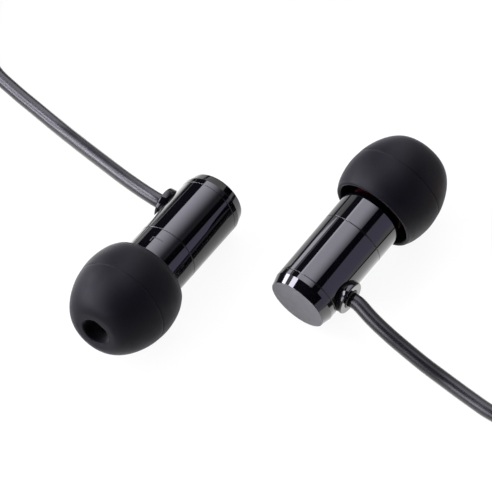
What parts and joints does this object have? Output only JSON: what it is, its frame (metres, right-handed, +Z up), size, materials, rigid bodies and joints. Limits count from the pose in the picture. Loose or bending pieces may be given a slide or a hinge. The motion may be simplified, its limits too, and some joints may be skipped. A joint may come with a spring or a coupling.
{
  "type": "wired earphones",
  "caption": "Wired in-ear earphones with glossy round shells, dome ear tips, a cord with slider and Y-split, and a straight stereo plug.",
  "frame": {"origin": "on the surface that the earpieces lie on, under the middle of the box around the two earpieces", "axes": "+Z up; +X to the right across the pair as it lies, toward the right earpiece; +Y back, toward the coiled cord"},
  "size_m": [0.0763, 0.0958, 0.0121],
  "materials": {
    "cap_grey": "satin",
    "shell_black": "gloss",
    "gland_black": "gloss",
    "bush_rubber": "matt",
    "cord_jacket": "satin",
    "wire_copper": "bright",
    "gasket_foam": "matt",
    "diaphragm_film": "satin",
    "voice_coil_copper": "bright",
    "driver_frame_plastic": "satin",
    "driver_steel": "brushed",
    "magnet_nickel": "bright",
    "board_green": "satin",
    "mesh_steel": "satin",
    "tip_silicone": "matt",
    "core_silicone_grey": "satin",
    "core_silicone_red": "satin",
    "moulded_black": "satin",
    "contact_gold": "bright",
    "insulator_black": "satin"
  },
  "bodies": {
    "earphones": {"left_rear_cap": "cap_grey", "left_rear_housing": "shell_black", "left_front_housing": "shell_black", "left_nozzle_mesh": "mesh_steel", "left_cable_gland": "gland_black", "left_gland_bush": "bush_rubber", "left_cord_knot": "cord_jacket", "left_inner_wires": "wire_copper", "left_driver_gasket": "gasket_foam", "left_diaphragm": "diaphragm_film", "left_voice_coil": "voice_coil_copper", "left_driver_frame": "driver_frame_plastic", "left_yoke": "driver_steel", "left_magnet": "magnet_nickel", "left_pole_plate": "driver_steel", "left_terminal_board": "board_green", "right_rear_cap": "cap_grey", "right_rear_housing": "shell_black", "right_front_housing": "shell_black", "right_nozzle_mesh": "mesh_steel", "right_cable_gland": "gland_black", "right_gland_bush": "bush_rubber", "right_cord_knot": "cord_jacket", "right_inner_wires": "wire_copper", "right_driver_gasket": "gasket_foam", "right_diaphragm": "diaphragm_film", "right_voice_coil": "voice_coil_copper", "right_driver_frame": "driver_frame_plastic", "right_yoke": "driver_steel", "right_magnet": "magnet_nickel", "right_pole_plate": "driver_steel", "right_terminal_board": "board_green", "left_cord_lead": "cord_jacket", "left_cord_coil": "cord_jacket", "left_cord_tail": "cord_jacket", "right_cord_lead": "cord_jacket", "right_cord_coil": "cord_jacket", "right_cord_tail": "cord_jacket", "trunk_cord_lead": "cord_jacket", "trunk_cord_coil": "cord_jacket", "trunk_cord_tail": "cord_jacket", "y_split": "moulded_black", "plug_grip": "moulded_black", "plug_strain_relief": "bush_rubber", "plug_sleeve": "contact_gold", "plug_rear_insulator": "insulator_black", "plug_ring": "contact_gold", "plug_front_insulator": "insulator_black", "plug_tip": "contact_gold"},
    "left_tip": {"left_ear_tip": "tip_silicone", "left_tip_core": "core_silicone_grey"},
    "right_tip": {"right_ear_tip": "tip_silicone", "right_tip_core": "core_silicone_red"},
    "cord_slider": {"slider": "moulded_black"}
  },
  "joints": [
    {"name": "left_tip_pull", "type": "slide", "parent": "earphones", "child": "left_tip", "axis": [-0.542, -0.8314, 0.1228], "range_m": [0, 0.008]},
    {"name": "right_tip_pull", "type": "slide", "parent": "earphones", "child": "right_tip", "axis": [0.6124, 0.781, 0.1228], "range_m": [0, 0.008]},
    {"name": "slider_slide", "type": "slide", "parent": "earphones", "child": "cord_slider", "axis": [-1, 0, 0], "range_m": [0, 0.0075]}
  ]
}
